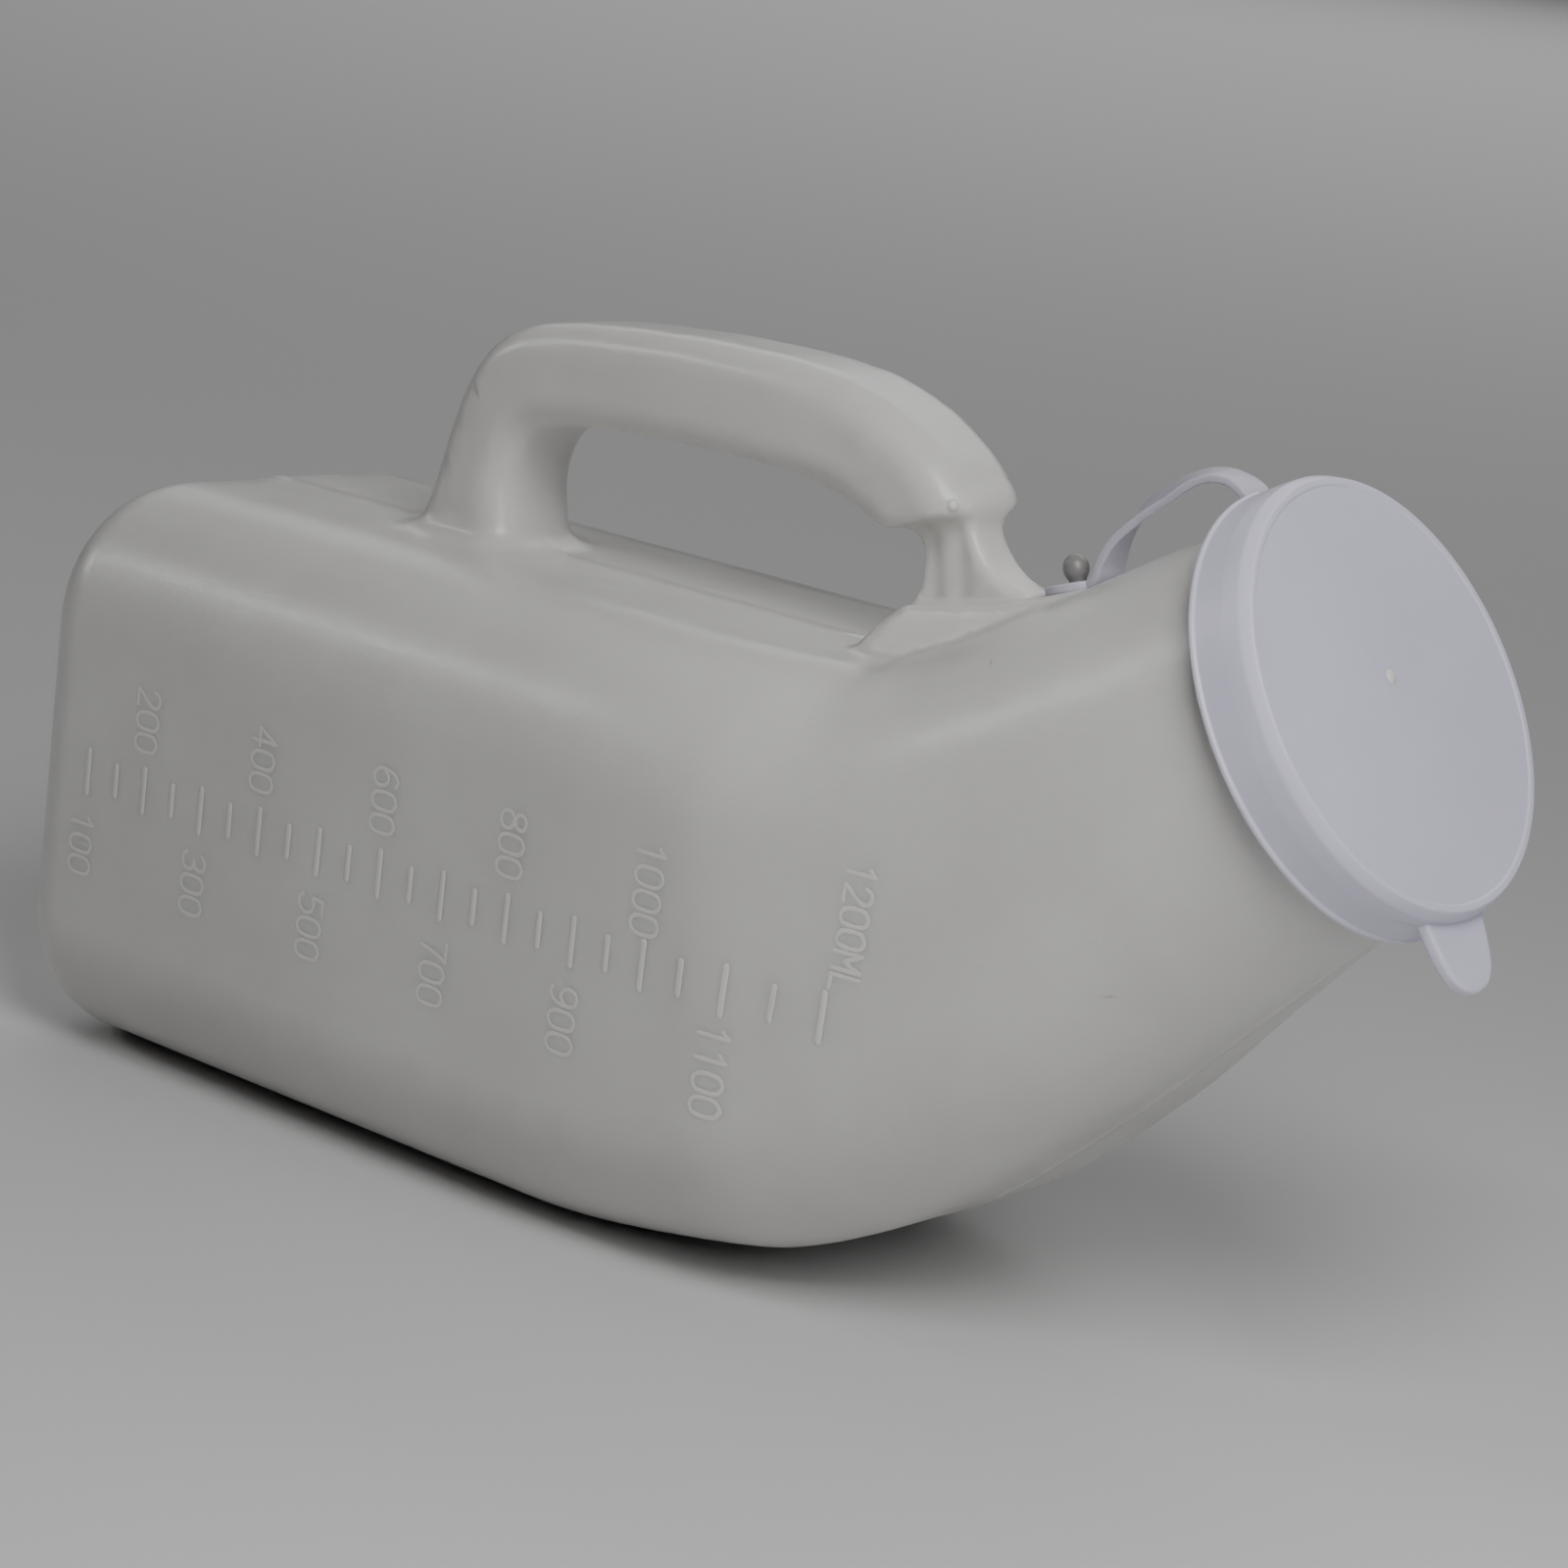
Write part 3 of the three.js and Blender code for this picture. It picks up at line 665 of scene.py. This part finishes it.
# A bead's edges lie SINK under the wall's surface, and its flat foot KEEL under it.
STROKE_STEP = 0.45
SINK = 0.04
KEEL = 0.5


def bead(strokes, name, width, relief):
    """Raised rounded lines on the bottle's side along strokes of (x, z) points."""
    section = [(math.cos(a), math.sin(a)) for a in np.linspace(0, math.pi, 9)]
    # How far past the stroke's end, and how wide there, both as shares of the width.
    tips = (0.3, 0.75), (0.42, 0.35)
    vertices, faces = [], []
    for stroke in strokes:
        stroke = np.asarray(stroke, float)
        length = np.linalg.norm(np.diff(stroke, axis=0), axis=1).sum()
        path = spline(stroke, max(int(length / STROKE_STEP), 3) + 1)
        run = np.gradient(path, axis=0)
        run /= np.linalg.norm(run, axis=1, keepdims=True)
        stations = ([(path[0] - run[0] * o * width, run[0], k) for o, k in reversed(tips)]
                    + [(p, r, 1.0) for p, r in zip(path, run)]
                    + [(path[-1] + run[-1] * o * width, run[-1], k) for o, k in tips])
        base = len(vertices)
        for p, r, k in stations:
            at, normal = on_side(*p)
            tangent = np.array((r[0], 0, r[1]))
            tangent -= normal * (tangent @ normal)
            tangent /= np.linalg.norm(tangent)
            side = np.cross(normal, tangent)
            for c, q in section:
                vertices.append(at + side * c * k * width / 2 + normal * (q * k * relief - SINK))
            vertices.append(at - side * k * width / 2 - normal * KEEL)
            vertices.append(at + side * k * width / 2 - normal * KEEL)
        n = len(section) + 2
        for s in range(len(stations) - 1):
            for i in range(n):
                j = (i + 1) % n
                a = base + s * n
                faces.append((a + i, a + j, a + n + j, a + n + i))
        faces.append(tuple(base + i for i in range(n))[::-1])
        faces.append(tuple(base + (len(stations) - 1) * n + i for i in range(n)))
    return smooth_by_angle(make_object(name, np.array(vertices), faces), 50)


# One line for each 50 ml from 100 ml up. After the first EVEN_TICKS each gap is wider than the
# one before it, because the side curves away.
FIRST_TICK = 17.1
TICK_COUNT = 23
TICK_PITCH = 6.75
EVEN_TICKS = 18
WIDENING = 0.35
TICK_CENTRE = 48.4
TICK_LONG, TICK_SHORT = 7.2, 5.0
tick_x = [FIRST_TICK]
for i in range(1, TICK_COUNT):
    tick_x.append(tick_x[-1] + TICK_PITCH + max(0, i - EVEN_TICKS) * WIDENING)
tick_strokes = []
for i, x in enumerate(tick_x):
    reach = (TICK_SHORT if i % 2 else TICK_LONG) / 2
    tick_strokes.append([(x, TICK_CENTRE - reach), (x, TICK_CENTRE), (x, TICK_CENTRE + reach)])
ticks = bead(tick_strokes, "scale_lines", width=1.15, relief=0.13)

# Letters and numerals as strokes in a cell GLYPH_WIDTH wide and 1 high.
GLYPHS = {
    "0": [[(.3, 1), (.08, .86), (.03, .5), (.08, .14), (.3, 0), (.52, .14), (.57, .5), (.52, .86),
           (.3, 1)]],
    "1": [[(.14, .78), (.24, .86), (.34, 1)], [(.34, 1), (.34, .5), (.34, 0)]],
    "2": [[(.05, .74), (.12, .93), (.3, 1), (.5, .9), (.54, .7), (.42, .48), (.2, .22), (.04, 0)],
          [(.04, 0), (.3, 0), (.57, 0)]],
    "3": [[(.06, .82), (.18, .97), (.34, 1), (.51, .9), (.52, .68), (.4, .55), (.24, .52)],
          [(.24, .52), (.44, .48), (.56, .3), (.5, .1), (.3, 0), (.12, .04), (.03, .18)]],
    "4": [[(.42, 1), (.22, .66), (.03, .3)], [(.03, .3), (.3, .3), (.58, .3)],
          [(.42, 1), (.42, .5), (.42, 0)]],
    "5": [[(.52, 1), (.3, 1), (.12, 1)], [(.12, 1), (.09, .78), (.07, .55)],
          [(.07, .55), (.28, .63), (.48, .55), (.57, .33), (.48, .09), (.28, 0), (.1, .04),
           (.02, .16)]],
    "6": [[(.5, .9), (.34, 1), (.14, .86), (.04, .5), (.06, .2), (.28, 0), (.5, .1), (.56, .32),
           (.46, .54), (.26, .6), (.06, .42)]],
    "7": [[(.03, 1), (.3, 1), (.57, 1)], [(.57, 1), (.4, .6), (.24, 0)]],
    "8": [[(.3, .54), (.1, .66), (.1, .9), (.3, 1), (.5, .9), (.5, .66), (.3, .54), (.07, .4),
           (.06, .12), (.3, 0), (.54, .12), (.53, .4), (.3, .54)]],
    "9": [[(.54, .58), (.34, .4), (.12, .48), (.04, .7), (.12, .93), (.32, 1), (.5, .88),
           (.56, .5), (.46, .16), (.26, 0), (.1, .08)]],
    "M": [[(.03, 0), (.03, .5), (.03, 1)], [(.03, 1), (.16, .7), (.3, .4)],
          [(.3, .4), (.44, .7), (.57, 1)], [(.57, 1), (.57, .5), (.57, 0)]],
    "L": [[(.08, 1), (.08, .5), (.08, 0)], [(.08, 0), (.3, 0), (.55, 0)]],
}
GLYPH_WIDTH = 0.6
GLYPH_PITCH = 0.7


def lettering(text, x, z, size):
    """Strokes of a word that reads down the side, its letters' tops towards the mouth."""
    strokes = []
    start = z + (len(text) * GLYPH_PITCH - GLYPH_PITCH + GLYPH_WIDTH) * size / 2
    for k, letter in enumerate(text):
        for stroke in GLYPHS[letter]:
            strokes.append([(x + v * size, start - (k * GLYPH_PITCH + u) * size)
                            for u, v in stroke])
    return strokes


# The hundreds stand in turn below and above the lines, each beside its own long line.
LABEL_BELOW, LABEL_ABOVE = 36.2, 59.8
labels = []
for k in range(11):
    label_z = LABEL_ABOVE if k % 2 else LABEL_BELOW
    labels += lettering(str(100 * (k + 1)), tick_x[2 * k] - 3.0, label_z, size=5.2)
labels += lettering("1200ML", tick_x[-1] + 0.4, 62.0, size=4.6)
numerals = bead(labels, "scale_numerals", width=0.8, relief=0.07)


# ---- moulding nubs -------------------------------------------------------------------------------
def nub(name, centre, normal, radius, height):
    """A low round nub with a soft foot, left by the moulding. Its rings are shares of the radius
    and of the height."""
    normal = np.array(normal) / np.linalg.norm(normal)
    side = np.cross(normal, (0, 1, 0.1))
    side /= np.linalg.norm(side)
    other = np.cross(normal, side)
    angle = np.linspace(0, 2 * math.pi, 28, endpoint=False)[:, None]
    rings = []
    for share, rise in ((1.25, -0.25), (1.1, 0.05), (0.95, 0.3), (0.8, 0.66), (0.55, 0.9),
                        (0.28, 1.0), (0.02, 1.03)):
        rings.append(np.array(centre) + normal * rise * height
                     + (side * np.cos(angle) + other * np.sin(angle)) * radius * share)
    vertices, faces = skin_of(np.array(rings))
    return make_object(name, vertices, faces.tolist())


lid_nub = nub("lid_gate_nub", on_neck(-0.5, 2.4, 0.4), NECK_AXIS, radius=1.0, height=0.3)
bottle_tree = BVHTree.FromObject(bottle, bpy.context.evaluated_depsgraph_get())
at, out_of, _, _ = bottle_tree.ray_cast(Vector(row((157.2, -60, 118.4))), Vector((0, 1, 0)))
grip_nub = nub("grip_nub", np.array(at) / MM - (FLAT_END, 0, 0), out_of, radius=0.7, height=0.3)


# ---- materials -----------------------------------------------------------------------------------
def noise(tree, coordinates, scale, detail, roughness):
    made = tree.nodes.new("ShaderNodeTexNoise")
    made.inputs["Scale"].default_value = scale
    made.inputs["Detail"].default_value = detail
    made.inputs["Roughness"].default_value = roughness
    tree.links.new(coordinates, made.inputs["Vector"])
    return made.outputs["Fac"]


NOISE_LOW, NOISE_HIGH = 0.3, 0.7


def ranged(tree, value, low, high):
    """The noise's usual range stretched from low to high."""
    made = tree.nodes.new("ShaderNodeMapRange")
    tree.links.new(value, made.inputs["Value"])
    for key, number in zip(("From Min", "From Max", "To Min", "To Max"),
                           (NOISE_LOW, NOISE_HIGH, low, high)):
        made.inputs[key].default_value = number
    return made.outputs["Result"]


def bump(tree, height, distance):
    made = tree.nodes.new("ShaderNodeBump")
    made.inputs["Strength"].default_value = 0.5
    made.inputs["Distance"].default_value = distance
    tree.links.new(height, made.inputs["Height"])
    return made


# The mix node has sockets for each kind of data: these are its colours.
COLOUR_A, COLOUR_B, COLOUR_RESULT = 6, 7, 2
WALL_WAVES = 0.00035


def plastic(name, tint, cloud, rough, scatter, depth, peel):
    """Moulded polyethylene: cloudy colour, satin with uneven gloss, fine orange peel and
    scattering. The depth of the scattering and of the peel are in metres."""
    material = bpy.data.materials.new(name)
    material.use_nodes = True
    tree = material.node_tree
    shader = tree.nodes["Principled BSDF"]
    place = tree.nodes.new("ShaderNodeTexCoord").outputs["Object"]
    mix = tree.nodes.new("ShaderNodeMix")
    mix.data_type = "RGBA"
    clouds = noise(tree, place, scale=38, detail=3, roughness=0.6)
    tree.links.new(ranged(tree, clouds, 0, 1), mix.inputs["Factor"])
    mix.inputs[COLOUR_A].default_value = (*tint, 1)
    mix.inputs[COLOUR_B].default_value = (*cloud, 1)
    tree.links.new(mix.outputs[COLOUR_RESULT], shader.inputs["Base Color"])
    gloss = noise(tree, place, scale=160, detail=4, roughness=0.65)
    tree.links.new(ranged(tree, gloss, *rough), shader.inputs["Roughness"])
    fine = bump(tree, noise(tree, place, scale=1100, detail=2, roughness=0.5), peel)
    broad = bump(tree, noise(tree, place, scale=55, detail=1.5, roughness=0.4), WALL_WAVES)
    tree.links.new(broad.outputs["Normal"], fine.inputs["Normal"])
    tree.links.new(fine.outputs["Normal"], shader.inputs["Normal"])
    shader.inputs["IOR"].default_value = 1.5
    shader.inputs["Subsurface Weight"].default_value = scatter
    shader.inputs["Subsurface Radius"].default_value = (1.0, 0.94, 0.84)
    shader.inputs["Subsurface Scale"].default_value = depth
    return material


BOTTLE_PLASTIC = plastic(
    "natural_polyethylene", tint=(0.60, 0.585, 0.565), cloud=(0.66, 0.645, 0.625),
    rough=(0.285, 0.335), scatter=0.6, depth=0.006, peel=0.00006)
# The raised marks are so thin that they don't scatter. They and the nubs are tinted a shade lighter
# than the wall, a painted highlight for the light they catch.
MARK_PAINTED_HIGHLIGHT = plastic(
    "raised_marks_painted_highlight", tint=(0.67, 0.657, 0.637), cloud=(0.71, 0.697, 0.677),
    rough=(0.3, 0.38), scatter=0.0, depth=0.001, peel=0.00003)
LID_PLASTIC = plastic(
    "lid_polyethylene", tint=(0.60, 0.58, 0.71), cloud=(0.64, 0.62, 0.75),
    rough=(0.36, 0.44), scatter=0.4, depth=0.003, peel=0.00004)
# The thin pieces let some light through, and the dark behind them shows, so their darker tints are
# painted shade. The stud's near-black tint is painted shade.
STUD_PAINTED_SHADE = plastic(
    "stud_polyethylene_painted_shade", tint=(0.21, 0.206, 0.2), cloud=(0.25, 0.245, 0.235),
    rough=(0.3, 0.38), scatter=0.4, depth=0.002, peel=0.00003)
# Painted shade: the strap and eyelet have the lid's lavender tint, made darker for the dark showing
# through them.
THIN_PLASTIC_PAINTED_SHADE = plastic(
    "strap_polyethylene_painted_shade", tint=(0.47, 0.452, 0.53), cloud=(0.52, 0.50, 0.58),
    rough=(0.34, 0.42), scatter=0.3, depth=0.002, peel=0.00003)


def finish(thing, material, body):
    """Material, slot and body of a piece. A blended piece has no one body."""
    thing.data.materials.clear()
    thing.data.materials.append(material)
    if body:
        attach(thing, body)


finish(bottle, BOTTLE_PLASTIC, "bottle")
finish(stud, STUD_PAINTED_SHADE, "bottle")
finish(ticks, MARK_PAINTED_HIGHLIGHT, "bottle")
finish(numerals, MARK_PAINTED_HIGHLIGHT, "bottle")
# The nubs get the marks' lighter tint: a painted glint.
finish(grip_nub, MARK_PAINTED_HIGHLIGHT, "bottle")
finish(lid_nub, MARK_PAINTED_HIGHLIGHT, "lid")
finish(eyelet, THIN_PLASTIC_PAINTED_SHADE, "bottle")
finish(lid, LID_PLASTIC, "lid")
finish(tab, LID_PLASTIC, "lid")
finish(strap, THIN_PLASTIC_PAINTED_SHADE, None)
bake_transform(strap)
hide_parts("bottle_shell", "neck_finish", "handle_grip", "handle_front_post",
            "handle_plinth")
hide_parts("tether_stud")
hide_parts("tether_eyelet")
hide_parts("lid_strap")
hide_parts("lid_cap", "lid_seal_ring")
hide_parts("lid_pull_tab")


# ---- floor and light -----------------------------------------------------------------------------
def make_floor():
    radius, segments = 9.0, 96
    angle = np.linspace(0, 2 * math.pi, segments, endpoint=False)
    mesh = bpy.data.meshes.new("floor")
    rim = [(radius * math.cos(a), radius * math.sin(a), 0) for a in angle]
    mesh.from_pydata(rim, [], [range(segments)])
    material = bpy.data.materials.new("floor")
    material.use_nodes = True
    shader = material.node_tree.nodes["Principled BSDF"]
    shader.inputs["Base Color"].default_value = (0.6, 0.6, 0.6, 1)
    shader.inputs["Roughness"].default_value = 0.9
    mesh.materials.append(material)
    floor = bpy.data.objects.new("floor", mesh)
    bpy.context.collection.objects.link(floor)


def area_light(name, place, aim, size, power):
    data = bpy.data.lights.new(name, "AREA")
    data.shape = "RECTANGLE"
    data.size, data.size_y = size
    data.energy = power
    lamp = bpy.data.objects.new(name, data)
    bpy.context.collection.objects.link(lamp)
    lamp.location = place
    lamp.rotation_euler = (Vector(aim) - Vector(place)).to_track_quat("-Z", "Y").to_euler()


def make_world():
    world = bpy.data.worlds.new("studio")
    bpy.context.scene.world = world
    world.use_nodes = True
    background = world.node_tree.nodes["Background"]
    background.inputs["Color"].default_value = (0.8, 0.8, 0.82, 1)
    background.inputs["Strength"].default_value = 0.02


make_floor()
make_world()
# A soft key from the front right and a low fill beside it, two small lights from the left for the
# highlights on the neck, the leg and the corner, and two wide ones for the floor behind.
area_light("key", (0.29, -0.22, 0.44), aim=(0.02, 0, 0.06), size=(0.22, 0.22), power=1.45)
area_light("side_key", (0.39, -0.22, 0.27), aim=(0.05, 0, 0.06), size=(0.20, 0.20), power=0.66)
area_light("window_low", (-0.89, -0.32, 0.39), aim=(0.05, -0.02, 0.08), size=(0.12, 0.12),
           power=0.65)
area_light("window_high", (-0.74, -0.52, 0.60), aim=(0.06, -0.02, 0.08), size=(0.10, 0.10),
           power=0.75)
area_light("backdrop_near", (-0.95, 1.25, 1.5), aim=(-0.95, 1.26, 0), size=(2.6, 2.6), power=8)
area_light("backdrop_far", (-2.5, 4.6, 2.6), aim=(-2.5, 4.61, 0), size=(5.5, 5.5), power=110)
